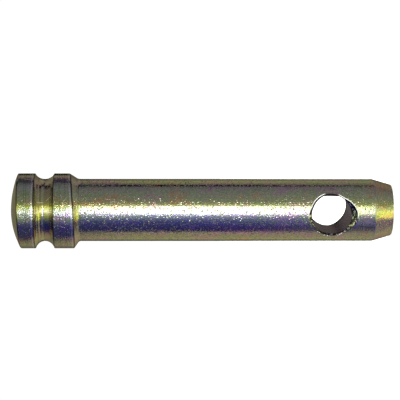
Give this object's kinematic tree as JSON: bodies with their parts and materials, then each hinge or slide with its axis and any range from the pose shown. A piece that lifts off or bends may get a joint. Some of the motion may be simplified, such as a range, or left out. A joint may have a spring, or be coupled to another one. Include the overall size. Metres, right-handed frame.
{
  "type": "top link pin",
  "caption": "Headed steel top link pin: domed head with collars and a round-bottomed groove, plain shank, tapered tip and a countersunk cross hole for a linch pin.",
  "frame": {"origin": "middle of the flat tip face that the pin stands on", "axes": "+Z along the pin from the tip to the domed head; Y along the cross hole"},
  "size_m": [0.0229, 0.0228, 0.1161],
  "materials": {
    "plated_steel": "zinc plate with a yellow passivated, faintly iridescent surface"
  },
  "bodies": {
    "root": {"link_pin": "plated_steel"}
  },
  "joints": []
}
